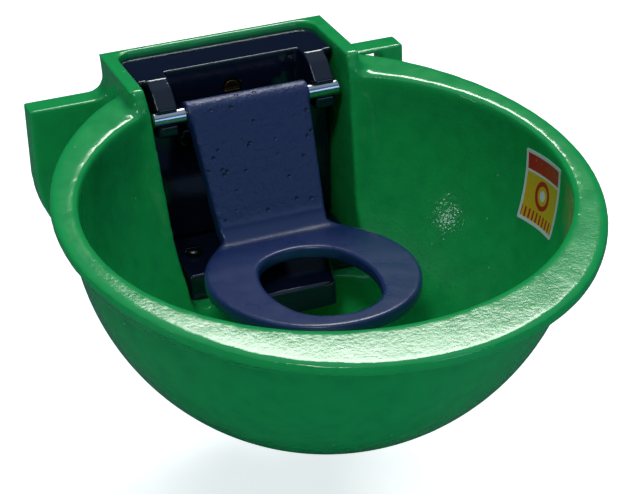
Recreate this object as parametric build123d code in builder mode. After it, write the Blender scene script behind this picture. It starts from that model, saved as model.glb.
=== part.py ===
"""Wall-mounted livestock drinking bowl with a paddle-operated water valve.

Frame: millimetres, +Z up, the wall behind the bowl is the plane Y = 0 and the animal stands at -Y.
The origin lies on the wall plane, midway between the two fixing holes and at their height.
"""
from build123d import *
from math import atan2, cos, degrees, pi, radians, sin, tan
import os

# ---------------------------------------------------------------- driving dimensions
# housing: the box at the back of the casting that holds the valve
housing_width = 122.0
housing_top = 60.0
housing_depth = 60.0
housing_bottom = -54.0
side_wall = 7.5
back_wall = 4.5
floor_thickness = 8.0
wall_lean = 0.057
front_lean = 0.19
wall_top_bevel = 8.0
toe_front = 102.0
toe_rise = 9.0
toe_top = -25.0
pocket_corner = 8.0
inlet_boss_diameter = 36.0
inlet_boss_height = 4.0

# mounting plate behind the housing
plate_width = 205.0
plate_top = 40.5
plate_thickness = 14.0
plate_corner = 57.0
plate_fillet = 8.0
fixing_spacing = 160.0
fixing_hole_diameter = 11.0
strap_slot_width = 14.0
strap_slot_height = 18.0
strap_slot_edge = 90.5
strap_slot_top = 37.5

# bowl and its rim
bowl_diameter = 238.0
bowl_wall = 5.0
bowl_front = 281.0
bowl_centre_height = 37.0
bowl_collar = 24.0
rim_width = 253.0
rim_length = 288.0
rim_end_roundness = 0.909
rim_front = 306.5
rim_height_at_wall = 56.0
rim_fall = 5.14
rim_thickness = 6.5
rim_flare_depth = 15.0
rim_edge_radius = 2.5
rim_inner_radius = 3.0

# hinge pin and paddle
pin_diameter = 8.0
pin_height = 40.7
pin_distance = 52.0
pin_end_gap = 2.4
pin_chamfer = 0.8
barrel_diameter = 13.5
paddle_side_gap = 4.0
paddle_waist_width = 50.0
stem_thickness = 6.5
stem_slope = 26.0
ring_width = 103.0
ring_length = 122.5
ring_thickness = 7.0
ring_rise = 3.4
ring_top_height = -13.3
ring_centre = 139.2
ring_end_roundness = 0.9126
hole_width = 53.5
hole_length = 79.0
hole_end_roundness = 0.897
hole_forward = 9.9
bend_radius = 14.0
striker_diameter = 12.0
striker_face = 60.0
waist_radius = 8.0
hole_edge_radius = 2.0
ring_edge_radius = 1.8

# cover
cover_gap = 0.6
cover_top_drop = 3.0
cover_thickness = 3.0
notch_front = 31.5
shoulder_front = 39.0
panel_front = 42.0
panel_step_height = 35.0
lug_side_gap = 4.9
lug_width = 11.0
lug_front = 54.2
lug_facet_front = 46.0
lug_facet_drop = 3.0
lug_nose_top = 46.0
lug_bottom = 31.0
pin_mouth = 6.8
cover_screw_x = 30.0
cover_screw_height = 24.0
screw_diameter = 5.0
screw_head_diameter = 9.0
screw_head_height = 3.2
screw_head_chamfer = 1.0
screw_slot = 1.2
screw_length = 14.0
deflector_screw_grip = 7.0
post_diameter = 11.0

# outlet deflector
deflector_top = -32.0
deflector_thickness = 3.5
deflector_side_gap = 1.5
deflector_foot_front = 86.0
nose_front = 120.0
nose_root_half_width = 29.0
nose_tip_half_width = 19.5
nose_depth = 14.0
nose_corner = 4.0
nose_edge_radius = 1.5
deflector_screw_x = 36.0
deflector_screw_y = 62.0

# valve
valve_height = 12.0
chamber_diameter = 18.0
chamber_rear = 19.0
valve_body_rear = 6.5
valve_body_front = 34.0
valve_body_width = 30.0
valve_body_bottom = -7.0
block_edge_radius = 3.0
block_margin = 2.0
regulator_height = 41.0
regulator_window = 11.0
regulator_thread_length = 6.0
regulator_block_front = 28.0
regulator_block_top = 50.0
barrel_boss_diameter = 25.0
barrel_boss_front = 45.0
transfer_bore = 6.0
transfer_distance = 23.0
rise_bore = 7.0
rise_distance = 13.0
riser_floor = 2.0
bore_run = 1.5
inlet_distance = 21.0
shank_diameter = 24.0
shank_end = -68.0
inlet_thread_diameter = 20.955
inlet_bore = 14.0
inlet_bore_rise = 5.5
inlet_end = -86.0
base_flange_diameter = 32.0
base_flange_thickness = 4.0
gasket_thickness = 2.0
seat_thickness = 4.0
seat_bore = 9.0
seat_lip = 1.0
spring_space = 10.0
valve_washer_diameter = 14.0
valve_washer_thickness = 3.0
plunger_diameter = 6.0
plunger_head_thickness = 3.0
spring_guide_diameter = 6.5
spring_guide_length = 4.5
bonnet_flange_diameter = 24.0
bonnet_flange_thickness = 4.5
bonnet_port_diameter = 3.5
bonnet_port_circle = 12.5
cap_diameter = 10.0
cap_length = 5.0
cap_dome_radius = 7.0
spring_mean_diameter = 11.5
spring_wire = 1.2
spring_turns = 4.0
spring_facets = 16
wire_facets = 6
regulator_thread = 8.0
regulator_needle = 4.6
regulator_head_diameter = 9.0
regulator_head_thickness = 3.0
o_ring_section = 1.6
locknut_across_flats = 32.0
locknut_thickness = 7.0
inlet_washer_thickness = 2.0
strainer_length = 22.0
strainer_wall = 0.8
strainer_taper = 4.0

# sticker on the inside of the bowl
sticker_width = 35.0
sticker_height = 35.0
sticker_distance = 163.0
sticker_centre_height = 16.0
sticker_turn = -4.5
sticker_thickness = 0.3
sticker_corner = 1.0

# clearances
running_fit = 0.05
body_gap = 0.3
hole_clearance = 0.25
seat_gap = 0.02

# ---------------------------------------------------------------- derived places
half_housing = housing_width / 2
housing_height = housing_top - housing_bottom
fixing_places = (-fixing_spacing / 2, fixing_spacing / 2)
cover_screw_places = ((-cover_screw_x, cover_screw_height), (cover_screw_x, cover_screw_height))
deflector_screw_places = ((-deflector_screw_x, -deflector_screw_y), (deflector_screw_x, -deflector_screw_y))
cover_post_end = panel_front - cover_thickness - seat_gap
deflector_post_top = deflector_top - deflector_thickness - seat_gap
pocket_floor = housing_bottom + floor_thickness
bowl_centre_y = -(bowl_front - bowl_diameter / 2)
rim_centre_y = -(rim_front - rim_length / 2)
rim_slope = tan(radians(rim_fall))
rim_centre_z = rim_height_at_wall + rim_slope * rim_centre_y
rim_plane = Plane(
    origin=(0, rim_centre_y, rim_centre_z),
    x_dir=(1, 0, 0),
    z_dir=(0, -sin(radians(rim_fall)), cos(radians(rim_fall))),
)
pin_y = -pin_distance
pin_plane = Plane(origin=(0, pin_y, pin_height), x_dir=(0, 1, 0), z_dir=(1, 0, 0))


def half_pocket(height):
    """Half the width of the housing's pocket at a height."""
    return half_housing - side_wall - (housing_top - height) * wall_lean


def half_block(height):
    """Half the outer width of the housing at a height."""
    return half_housing - (housing_top - height) * wall_lean


def front_of_wall(height):
    """Y of the front edge of the housing's side walls at a height."""
    return -housing_depth - (housing_top - height) * front_lean


def oval(half_width, half_length, end_radius):
    """An oval of four tangent arcs, longer along Y than along X."""
    excess = (half_length - end_radius) ** 2 / (half_width - end_radius)
    side_radius = (half_width + end_radius + excess) / 2
    side_angle = degrees(atan2(half_length - end_radius, side_radius - half_width))
    with BuildSketch() as outline:
        with BuildLine():
            CenterArc((half_width - side_radius, 0), side_radius, -side_angle, 2 * side_angle)
            CenterArc((0, half_length - end_radius), end_radius, side_angle, 180 - 2 * side_angle)
            CenterArc((side_radius - half_width, 0), side_radius, 180 - side_angle, 2 * side_angle)
            CenterArc((0, end_radius - half_length), end_radius, 180 + side_angle, 180 - 2 * side_angle)
        make_face()
    return outline.sketch


def bowl_form(shell):
    """The bowl's round body with its upright collar, grown outwards or inwards by shell."""
    radius = bowl_diameter / 2 + shell
    with BuildPart() as form:
        with BuildSketch(Plane.XZ):
            with BuildLine():
                CenterArc((0, 0), radius, 270, 90)
                Line((radius, 0), (radius, bowl_collar))
                Line((radius, bowl_collar), (0, bowl_collar))
                Line((0, bowl_collar), (0, -radius))
            make_face()
        revolve(axis=Axis.Z)
    return form.part


def save(piece, name):
    """Label a finished piece and write it."""
    piece.label = name
    export_step(piece, f"parts/{name}.step")


# widths that follow the housing's pocket
lug_inner = half_pocket(pin_height) - lug_side_gap - lug_width
paddle_top_width = 2 * (lug_inner - paddle_side_gap)
pin_length = 2 * (half_pocket(pin_height) - pin_end_gap)
deflector_half_width = half_pocket(deflector_top - nose_depth) - deflector_side_gap
rim_end_radius = rim_end_roundness * rim_width / 2
ring_end_radius = ring_end_roundness * ring_width / 2
hole_end_radius = hole_end_roundness * hole_width / 2

os.makedirs("parts", exist_ok=True)

# ---------------------------------------------------------------- bowl casting
bowl_outside = bowl_form(0)
bowl_inside = bowl_form(-bowl_wall)

# flat rim, widest at the front, with rounded edges and a flared underside
with BuildPart() as rim:
    with BuildSketch(rim_plane):
        add(oval(rim_width / 2, rim_length / 2, rim_end_radius))
    extrude(amount=-rim_thickness)
    fillet(rim.edges(), rim_edge_radius)
    with BuildSketch(rim_plane.offset(-rim_thickness)):
        add(
            oval(
                rim_width / 2 - rim_edge_radius,
                rim_length / 2 - rim_edge_radius,
                rim_end_radius - rim_edge_radius,
            )
        )
    with BuildSketch(rim_plane.offset(-rim_thickness - rim_flare_depth)):
        with Locations((0, bowl_centre_y - rim_centre_y)):
            Circle(bowl_diameter / 2 - rim_edge_radius)
    loft()

# mounting plate and the outline of the housing, in one section with hollow corners between them
with BuildPart() as plate:
    with BuildSketch(Plane.XZ) as plate_outline:
        with BuildLine():
            Polyline(
                (-plate_width / 2, housing_bottom),
                (plate_width / 2, housing_bottom),
                (plate_width / 2, plate_top),
                (half_block(plate_top), plate_top),
                (half_block(housing_top), housing_top),
                (-half_block(housing_top), housing_top),
                (-half_block(plate_top), plate_top),
                (-plate_width / 2, plate_top),
                close=True,
            )
        make_face()
        corners = plate_outline.vertices().group_by(Axis.Y)
        fillet(corners[0], plate_corner)
        corners = plate_outline.vertices().group_by(Axis.Y)
        fillet(corners[-2].sort_by(Axis.X)[1:3], plate_fillet)
    extrude(amount=plate_thickness)

# space inside the housing, open at the top and to the front
with BuildPart() as pocket:
    with BuildSketch(Plane.XZ.offset(back_wall)):
        with BuildLine():
            Polyline(
                (-half_pocket(housing_top), housing_top),
                (half_pocket(housing_top), housing_top),
                (half_pocket(pocket_floor), pocket_floor),
                (-half_pocket(pocket_floor), pocket_floor),
                close=True,
            )
        make_face()
    extrude(amount=toe_front)
    back_edges = pocket.edges().filter_by(lambda e: e.length > housing_depth).group_by(Axis.Y)[-1]
    fillet(back_edges.filter_by(lambda e: abs((e % 0.5).Z) > abs((e % 0.5).X)), pocket_corner)

# the part of the bowl's hollow that lies below the pocket's floor
with BuildPart() as sump:
    with Locations((0, bowl_centre_y, bowl_centre_height)):
        add(bowl_inside)
    split(bisect_by=Plane.XY.offset(pocket_floor), keep=Keep.BOTTOM)

# housing block: its side walls close in downwards and their front edges lean forwards
with BuildPart() as housing:
    with BuildSketch(Plane.XZ):
        with BuildLine():
            Polyline(
                (-half_block(housing_top), housing_top),
                (half_block(housing_top), housing_top),
                (half_block(housing_bottom), housing_bottom),
                (-half_block(housing_bottom), housing_bottom),
                close=True,
            )
        make_face()
    extrude(amount=toe_front)
    with BuildSketch(Plane.YZ):
        with BuildLine():
            Polyline(
                (0, housing_bottom),
                (-toe_front, housing_bottom),
                (-toe_front + toe_rise, housing_bottom + toe_rise),
                (front_of_wall(toe_top), toe_top),
                (front_of_wall(housing_top - wall_top_bevel), housing_top - wall_top_bevel),
                (-housing_depth + wall_top_bevel / 2, housing_top),
                (0, housing_top),
                close=True,
            )
        make_face()
    extrude(amount=housing_width, both=True, mode=Mode.INTERSECT)

with BuildPart() as bowl:
    # hollow body, cut off level with the top of the rim
    with Locations((0, bowl_centre_y, bowl_centre_height)):
        add(bowl_outside)
    split(bisect_by=rim_plane, keep=Keep.BOTTOM)
    add(rim.part)
    with Locations((0, bowl_centre_y, bowl_centre_height)):
        add(bowl_inside, mode=Mode.SUBTRACT)
    rim_top = bowl.faces().filter_by(rim_plane).sort_by(Axis.Z)[-1]
    fillet(rim_top.inner_wires()[0].edges(), rim_inner_radius)
    add(housing.part)
    add(plate.part)
    add(pocket.part, mode=Mode.SUBTRACT)
    add(sump.part, mode=Mode.SUBTRACT)
    # boss around the water inlet
    with BuildSketch(Plane.XY.offset(housing_bottom)):
        with Locations((0, -inlet_distance)):
            Circle(inlet_boss_diameter / 2)
    extrude(amount=-inlet_boss_height)
    # posts for the cover's screws on the back wall, and for the deflector's screws on the floor
    with BuildSketch(Plane.XZ.offset(back_wall)):
        with Locations(*cover_screw_places):
            Circle(post_diameter / 2)
    extrude(amount=cover_post_end - back_wall)
    with BuildSketch(Plane.XY.offset(pocket_floor)):
        with Locations(*deflector_screw_places):
            Circle(post_diameter / 2)
    extrude(amount=deflector_post_top - pocket_floor)
    # holes: water inlet, wall fixings, strap slot and the posts' screw holes
    with Locations(Location((0, -inlet_distance, pocket_floor))):
        Hole(shank_diameter / 2 + hole_clearance, depth=housing_height)
    with Locations(*[Location((x, -plate_thickness, 0), (90, 0, 0)) for x in fixing_places]):
        Hole(fixing_hole_diameter / 2, depth=plate_thickness)
    with BuildSketch(Plane.XZ):
        with Locations((strap_slot_edge - strap_slot_width / 2, strap_slot_top - strap_slot_height / 2)):
            Rectangle(strap_slot_width, strap_slot_height)
    extrude(amount=plate_thickness, mode=Mode.SUBTRACT)
    with BuildSketch(Plane.XZ.offset(cover_post_end)):
        with Locations(*cover_screw_places):
            Circle(screw_diameter / 2)
    extrude(amount=-screw_length, mode=Mode.SUBTRACT)
    with BuildSketch(Plane.XY.offset(deflector_post_top)):
        with Locations(*deflector_screw_places):
            Circle(screw_diameter / 2)
    extrude(amount=-deflector_screw_grip, mode=Mode.SUBTRACT)
save(bowl.part, "bowl")

# ---------------------------------------------------------------- hinge pin
with BuildPart() as hinge_pin:
    with BuildSketch(pin_plane.offset(-pin_length / 2)):
        Circle(pin_diameter / 2)
    extrude(amount=pin_length)
    chamfer(hinge_pin.edges().filter_by(GeomType.CIRCLE), pin_chamfer)
save(hinge_pin.part, "hinge_pin")

# ---------------------------------------------------------------- paddle
stem_down = Vector(-sin(radians(stem_slope)), -cos(radians(stem_slope)))
stem_out = Vector(-cos(radians(stem_slope)), sin(radians(stem_slope)))
ring_down = Vector(-cos(radians(ring_rise)), sin(radians(ring_rise)))
face_start = Vector(pin_y, pin_height) + stem_out * barrel_diameter / 2
back_start = face_start - stem_out * stem_thickness
ring_top_centre = Vector(-ring_centre, ring_top_height)
ring_tip = ring_top_centre + ring_down * (ring_length / 2 + barrel_diameter)
ring_under = ring_tip + Vector(-ring_down.Y, ring_down.X) * ring_thickness
# where the front and back faces of the stem meet the ring
reach = (ring_top_centre - face_start).cross(ring_down).Z / stem_down.cross(ring_down).Z
bend_point = face_start + stem_down * reach
under_reach = (ring_under - back_start).cross(ring_down).Z / stem_down.cross(ring_down).Z
under_point = back_start + stem_down * under_reach
stem_end = -ring_centre + ring_length / 4
hole_centre = Vector(0, -ring_centre - hole_forward)
hole_rear = hole_centre.Y + hole_length / 2


def runs_level(edge):
    """Whether the edge lies along the ring, not up through its thickness."""
    along = edge % 0.5
    return abs(along.Z) < abs(along.X) + abs(along.Y)


def near_hole(point):
    """Whether a point is at the hole's edge or on its fillet."""
    beside = abs(point.X) < hole_width / 2 + 2 * hole_edge_radius
    return beside and abs(point.Y - hole_centre.Y) < hole_length / 2 + 2 * hole_edge_radius


# the stem, the bend and the ring as one strip, seen from the side
with BuildPart() as paddle_strip:
    with BuildSketch(Plane.YZ) as strip:
        with BuildLine():
            Polyline(
                (face_start.X, face_start.Y),
                (bend_point.X, bend_point.Y),
                (ring_tip.X, ring_tip.Y),
                (ring_under.X, ring_under.Y),
                (under_point.X, under_point.Y),
                (back_start.X, back_start.Y),
                close=True,
            )
        make_face()
        corners = strip.vertices()
        fillet(corners.sort_by_distance((bend_point.X, bend_point.Y))[0], bend_radius)
        corners = strip.vertices()
        fillet(corners.sort_by_distance((under_point.X, under_point.Y))[0], bend_radius + stem_thickness)
    extrude(amount=paddle_top_width, both=True)

with BuildPart() as paddle:
    add(paddle_strip.part)
    # outline from above: a tapering stem that runs into an oval ring
    with BuildSketch(Plane.XY.offset(-housing_height)) as outline:
        with BuildLine():
            Polyline(
                (-paddle_top_width / 2, pin_y + barrel_diameter),
                (paddle_top_width / 2, pin_y + barrel_diameter),
                (paddle_top_width / 2, pin_y),
                (paddle_waist_width / 2, stem_end),
                (-paddle_waist_width / 2, stem_end),
                (-paddle_top_width / 2, pin_y),
                close=True,
            )
        make_face()
        with Locations((0, -ring_centre)):
            add(oval(ring_width / 2, ring_length / 2, ring_end_radius))
        fillet(outline.vertices().group_by(Axis.Y)[0], waist_radius)
        with Locations(hole_centre):
            add(oval(hole_width / 2, hole_length / 2, hole_end_radius), mode=Mode.SUBTRACT)
    extrude(amount=housing_height * 2, mode=Mode.INTERSECT)
    # rounded edges around the hole, then around the ring
    hole_edges = paddle.edges().filter_by(lambda e: runs_level(e) and near_hole(e @ 0.5))
    fillet(hole_edges, hole_edge_radius)
    ring_edges = paddle.edges().filter_by(lambda e: runs_level(e) and not near_hole(e @ 0.5))
    fillet(ring_edges.filter_by(lambda e: (e @ 0.5).Y < hole_rear), ring_edge_radius)
    # barrel that turns on the pin
    with BuildSketch(pin_plane.offset(-paddle_top_width / 2)):
        Circle(barrel_diameter / 2)
    extrude(amount=paddle_top_width)
    # pad on the back that meets the plunger
    with BuildSketch(Plane.XZ.offset(striker_face)):
        with Locations((0, valve_height)):
            Circle(striker_diameter / 2)
    extrude(until=Until.NEXT)
    with BuildSketch(pin_plane.offset(-paddle_top_width / 2)):
        Circle(pin_diameter / 2 + running_fit)
    extrude(amount=paddle_top_width, mode=Mode.SUBTRACT)
save(paddle.part, "paddle")

# ---------------------------------------------------------------- valve cover
cover_top = housing_top - cover_top_drop
cover_bottom = deflector_top + body_gap
panel_back = panel_front - cover_thickness

with BuildPart() as valve_cover:
    # top plate with a notch for the paddle's barrel
    with BuildSketch(Plane.XY.offset(cover_top)) as top_outline:
        with BuildLine():
            half_top = half_pocket(cover_top) - cover_gap
            Polyline(
                (-half_top, -back_wall - cover_gap),
                (half_top, -back_wall - cover_gap),
                (half_top, -shoulder_front),
                (lug_inner - body_gap, -shoulder_front),
                (lug_inner - body_gap, -notch_front),
                (-lug_inner + body_gap, -notch_front),
                (-lug_inner + body_gap, -shoulder_front),
                (-half_top, -shoulder_front),
                close=True,
            )
        make_face()
        fillet(top_outline.vertices().group_by(Axis.Y)[-1], pocket_corner)
    extrude(amount=-cover_thickness)
    # front panel, stepped back behind the barrel
    with BuildSketch(Plane.YZ) as panel_section:
        with BuildLine():
            Polyline(
                (-notch_front + cover_thickness, cover_top),
                (-notch_front, cover_top),
                (-notch_front, panel_step_height),
                (-panel_front, panel_step_height),
                (-panel_front, cover_bottom),
                (-panel_back, cover_bottom),
                (-panel_back, panel_step_height - cover_thickness),
                (-notch_front + cover_thickness, panel_step_height - cover_thickness),
                close=True,
            )
        make_face()
    extrude(amount=half_pocket(cover_bottom) - cover_gap, both=True)
    # side cheeks of the lugs: each holds the pin in a slot that snaps over it
    for side in (-1, 1):
        with BuildSketch(Plane.YZ.offset(side * lug_inner)):
            with BuildLine():
                Polyline(
                    (-notch_front, cover_top),
                    (-shoulder_front, cover_top),
                    (-lug_facet_front, cover_top - lug_facet_drop),
                    (-lug_front, lug_nose_top),
                    (-lug_front, lug_bottom),
                    (-notch_front, lug_bottom),
                    close=True,
                )
            make_face()
        extrude(amount=side * lug_width)
    with BuildSketch(Plane.YZ):
        with Locations((pin_y, pin_height)):
            Circle(pin_diameter / 2 + seat_gap)
        with Locations((pin_y - pin_diameter / 2, pin_height)):
            Rectangle(pin_diameter, pin_mouth)
    extrude(amount=housing_width, both=True, mode=Mode.SUBTRACT)
    # openings for the valve, the flow screw and the two screws
    with BuildSketch(Plane.XZ):
        with Locations((0, valve_height)):
            Circle(barrel_boss_diameter / 2 + body_gap)
        with Locations((0, regulator_height)):
            Circle(regulator_window / 2)
        with Locations(*cover_screw_places):
            Circle(screw_diameter / 2 + hole_clearance)
    extrude(amount=housing_depth, mode=Mode.SUBTRACT)
save(valve_cover.part, "valve_cover")

# ---------------------------------------------------------------- outlet deflector
with BuildPart() as outlet_deflector:
    with BuildSketch(Plane.XY.offset(deflector_top)) as hood_outline:
        with BuildLine():
            Polyline(
                (-deflector_half_width, -panel_front - body_gap),
                (deflector_half_width, -panel_front - body_gap),
                (deflector_half_width, -deflector_foot_front),
                (nose_root_half_width, -deflector_foot_front),
                (nose_tip_half_width, -nose_front),
                (-nose_tip_half_width, -nose_front),
                (-nose_root_half_width, -deflector_foot_front),
                (-deflector_half_width, -deflector_foot_front),
                close=True,
            )
        make_face()
        fillet(hood_outline.vertices().group_by(Axis.Y)[0], nose_corner)
    extrude(amount=-nose_depth)
    hood_edges = outlet_deflector.faces().sort_by(Axis.Z)[-1].edges()
    fillet(hood_edges, nose_edge_radius)
    with BuildSketch(Plane.XY.offset(deflector_top - nose_depth)):
        offset(hood_outline.sketch, amount=-deflector_thickness)
    extrude(amount=nose_depth - deflector_thickness, mode=Mode.SUBTRACT)
    with BuildSketch(Plane.XY.offset(deflector_top - nose_depth)):
        with Locations(*deflector_screw_places):
            Circle(screw_diameter / 2 + hole_clearance)
    extrude(amount=nose_depth, mode=Mode.SUBTRACT)
save(outlet_deflector.part, "outlet_deflector")


# ---------------------------------------------------------------- screws
def pan_screw(seat, length):
    """A pan-head screw whose head rests on a plane and whose shank runs down its axis."""
    with BuildPart(seat) as screw:
        Cylinder(screw_head_diameter / 2, screw_head_height, align=(Align.CENTER, Align.CENTER, Align.MIN))
        head_edge = screw.edges().filter_by(GeomType.CIRCLE).sort_by_distance(seat.origin)[-1]
        chamfer(head_edge, screw_head_chamfer)
        Cylinder(screw_diameter / 2 - seat_gap, length, align=(Align.CENTER, Align.CENTER, Align.MAX))
        with BuildSketch(seat.offset(screw_head_height)):
            Rectangle(screw_head_diameter, screw_slot)
        extrude(amount=-screw_head_height / 2, mode=Mode.SUBTRACT)
    return screw.part


with BuildPart() as cover_screws:
    for x in (-cover_screw_x, cover_screw_x):
        seat = Plane(
            origin=(x, -panel_front - seat_gap, cover_screw_height), x_dir=(1, 0, 0), z_dir=(0, -1, 0)
        )
        add(pan_screw(seat, screw_length))
save(cover_screws.part, "cover_screws")

with BuildPart() as deflector_screws:
    for x in (-deflector_screw_x, deflector_screw_x):
        seat = Plane(
            origin=(x, -deflector_screw_y, deflector_top + seat_gap), x_dir=(1, 0, 0), z_dir=(0, 0, 1)
        )
        add(pan_screw(seat, deflector_thickness + deflector_screw_grip - body_gap))
save(deflector_screws.part, "deflector_screws")

# ---------------------------------------------------------------- valve body
axis_plane = Plane(origin=(0, 0, valve_height), x_dir=(1, 0, 0), z_dir=(0, -1, 0))
regulator_plane = Plane(origin=(0, 0, regulator_height), x_dir=(1, 0, 0), z_dir=(0, -1, 0))
inlet_plane = Plane(origin=(0, -inlet_distance, 0), x_dir=(1, 0, 0), z_dir=(0, 0, 1))
body_foot = pocket_floor + gasket_thickness + seat_gap
valve_top = valve_height + barrel_boss_diameter / 2 + block_margin

with BuildPart() as valve_body:
    # stepped block that holds the chamber and, above it, the flow regulator
    with BuildSketch(Plane.YZ) as block_side:
        with BuildLine():
            Polyline(
                (-valve_body_rear, valve_body_bottom),
                (-valve_body_front, valve_body_bottom),
                (-valve_body_front, valve_top),
                (-regulator_block_front, valve_top),
                (-regulator_block_front, regulator_block_top),
                (-valve_body_rear, regulator_block_top),
                close=True,
            )
        make_face()
    extrude(amount=valve_body_width / 2, both=True)
    fillet(valve_body.edges().filter_by(Axis.Z), block_edge_radius)
    # barrel towards the paddle, stem down to the inlet, base flange and threaded spigot
    with BuildSketch(axis_plane.offset(valve_body_front)):
        Circle(barrel_boss_diameter / 2)
    extrude(amount=barrel_boss_front - valve_body_front)
    with BuildSketch(inlet_plane.offset(body_foot)):
        Circle(base_flange_diameter / 2)
    extrude(amount=base_flange_thickness)
    with BuildSketch(inlet_plane.offset(inlet_end)):
        Circle(inlet_thread_diameter / 2)
    extrude(amount=shank_end - inlet_end)
    with BuildSketch(inlet_plane.offset(shank_end)):
        Circle(shank_diameter / 2)
    extrude(amount=valve_body_bottom - shank_end)
    chamfer(valve_body.edges().filter_by(GeomType.CIRCLE).sort_by(Axis.Z)[0], pin_chamfer)
    # water ways: inlet bore, riser, regulator passage, transfer bore and chamber
    with BuildSketch(inlet_plane.offset(inlet_end)):
        Circle(inlet_bore / 2)
    extrude(amount=valve_body_bottom + inlet_bore_rise - inlet_end, mode=Mode.SUBTRACT)
    with BuildSketch(Plane.XY.offset(valve_body_bottom + riser_floor)):
        with Locations((0, -rise_distance)):
            Circle(rise_bore / 2)
    extrude(amount=regulator_height + rise_bore / 2 - valve_body_bottom - riser_floor, mode=Mode.SUBTRACT)
    with BuildSketch(Plane.XY.offset(valve_height + bore_run)):
        with Locations((0, -transfer_distance)):
            Circle(transfer_bore / 2)
    extrude(amount=regulator_height - valve_height, mode=Mode.SUBTRACT)
    with BuildSketch(regulator_plane.offset(rise_distance - bore_run)):
        Circle(regulator_needle / 2 + hole_clearance)
    extrude(amount=regulator_block_front, mode=Mode.SUBTRACT)
    with BuildSketch(regulator_plane.offset(regulator_block_front)):
        Circle(regulator_thread / 2)
    extrude(amount=-regulator_thread_length, mode=Mode.SUBTRACT)
    with BuildSketch(axis_plane.offset(chamber_rear)):
        Circle(chamber_diameter / 2)
    extrude(amount=barrel_boss_front, mode=Mode.SUBTRACT)
save(valve_body.part, "valve_body")

# ---------------------------------------------------------------- seal under the valve body
with BuildPart() as valve_gasket:
    with BuildSketch(inlet_plane.offset(pocket_floor)):
        Circle(base_flange_diameter / 2)
        Circle(shank_diameter / 2 + hole_clearance, mode=Mode.SUBTRACT)
    extrude(amount=gasket_thickness)
save(valve_gasket.part, "valve_gasket")

# ---------------------------------------------------------------- valve seat, washer and plunger
seat_rear = chamber_rear + spring_space + plunger_head_thickness + valve_washer_thickness
seat_front = seat_rear + seat_thickness

with BuildPart() as valve_seat:
    with BuildSketch(axis_plane.offset(seat_rear + seat_lip)):
        Circle(chamber_diameter / 2 - seat_gap)
        Circle(seat_bore / 2, mode=Mode.SUBTRACT)
    extrude(amount=seat_thickness - seat_lip)
    with BuildSketch(axis_plane.offset(seat_rear + seat_gap)):
        Circle(seat_bore / 2 + seat_lip)
        Circle(seat_bore / 2, mode=Mode.SUBTRACT)
    extrude(amount=seat_lip)
save(valve_seat.part, "valve_seat")

with BuildPart() as valve_washer:
    with BuildSketch(axis_plane.offset(seat_rear - valve_washer_thickness)):
        Circle(valve_washer_diameter / 2)
        Circle(plunger_diameter / 2 + seat_gap, mode=Mode.SUBTRACT)
    extrude(amount=valve_washer_thickness)
save(valve_washer.part, "valve_washer")

head_rear = chamber_rear + spring_space
with BuildPart() as valve_plunger:
    with BuildSketch(axis_plane.offset(head_rear)):
        Circle(valve_washer_diameter / 2)
    extrude(amount=plunger_head_thickness - seat_gap)
    with BuildSketch(axis_plane.offset(head_rear - spring_guide_length)):
        Circle(spring_guide_diameter / 2)
    extrude(amount=spring_guide_length)
    with BuildSketch(axis_plane.offset(head_rear)):
        Circle(plunger_diameter / 2)
    extrude(amount=striker_face - body_gap - cap_length / 2 - head_rear)
save(valve_plunger.part, "valve_plunger")

with BuildPart() as plunger_cap:
    with BuildSketch(axis_plane.offset(striker_face - body_gap - cap_length)):
        Circle(cap_diameter / 2)
    extrude(amount=cap_length)
    # domed nose, so that the tilting pad rolls on it
    with Locations((0, -striker_face + body_gap + cap_dome_radius, valve_height)):
        Sphere(cap_dome_radius, mode=Mode.INTERSECT)
    with BuildSketch(axis_plane.offset(striker_face - body_gap - cap_length)):
        Circle(plunger_diameter / 2 + seat_gap)
    extrude(amount=cap_length / 2 + seat_gap, mode=Mode.SUBTRACT)
save(plunger_cap.part, "plunger_cap")

# ---------------------------------------------------------------- bonnet that guides the plunger
bonnet_front = barrel_boss_front + bonnet_flange_thickness
with BuildPart() as valve_bonnet:
    with BuildSketch(axis_plane.offset(seat_front + seat_gap)):
        Circle(chamber_diameter / 2 - seat_gap)
    extrude(amount=barrel_boss_front - seat_front)
    with BuildSketch(axis_plane.offset(barrel_boss_front + seat_gap)):
        RegularPolygon(bonnet_flange_diameter / 2, 6, major_radius=False)
    extrude(amount=bonnet_flange_thickness)
    with BuildSketch(axis_plane.offset(seat_front)):
        Circle(seat_bore / 2 + seat_lip)
    extrude(amount=barrel_boss_front - seat_front, mode=Mode.SUBTRACT)
    with BuildSketch(axis_plane.offset(seat_front)):
        Circle(plunger_diameter / 2 + running_fit)
        with PolarLocations(bonnet_port_circle / 2, 6):
            Circle(bonnet_port_diameter / 2)
    extrude(amount=bonnet_front, mode=Mode.SUBTRACT)
save(valve_bonnet.part, "valve_bonnet")

# ---------------------------------------------------------------- return spring
spring_length = head_rear - chamber_rear - spring_wire - 2 * seat_gap
spring_rear = chamber_rear + spring_wire / 2 + seat_gap
spring_steps = int(spring_turns * spring_facets)
spring_points = [
    axis_plane.from_local_coords(
        (
            spring_mean_diameter / 2 * cos(2 * pi * step / spring_facets),
            spring_mean_diameter / 2 * sin(2 * pi * step / spring_facets),
            spring_rear + spring_length * step / spring_steps,
        )
    )
    for step in range(spring_steps + 1)
]
with BuildPart() as return_spring:
    with BuildLine() as coil:
        Polyline(spring_points)
    with BuildSketch(Plane(origin=coil.line @ 0, z_dir=coil.line % 0)):
        RegularPolygon(spring_wire / 2, wire_facets)
    sweep(transition=Transition.RIGHT)
save(return_spring.part, "return_spring")

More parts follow.
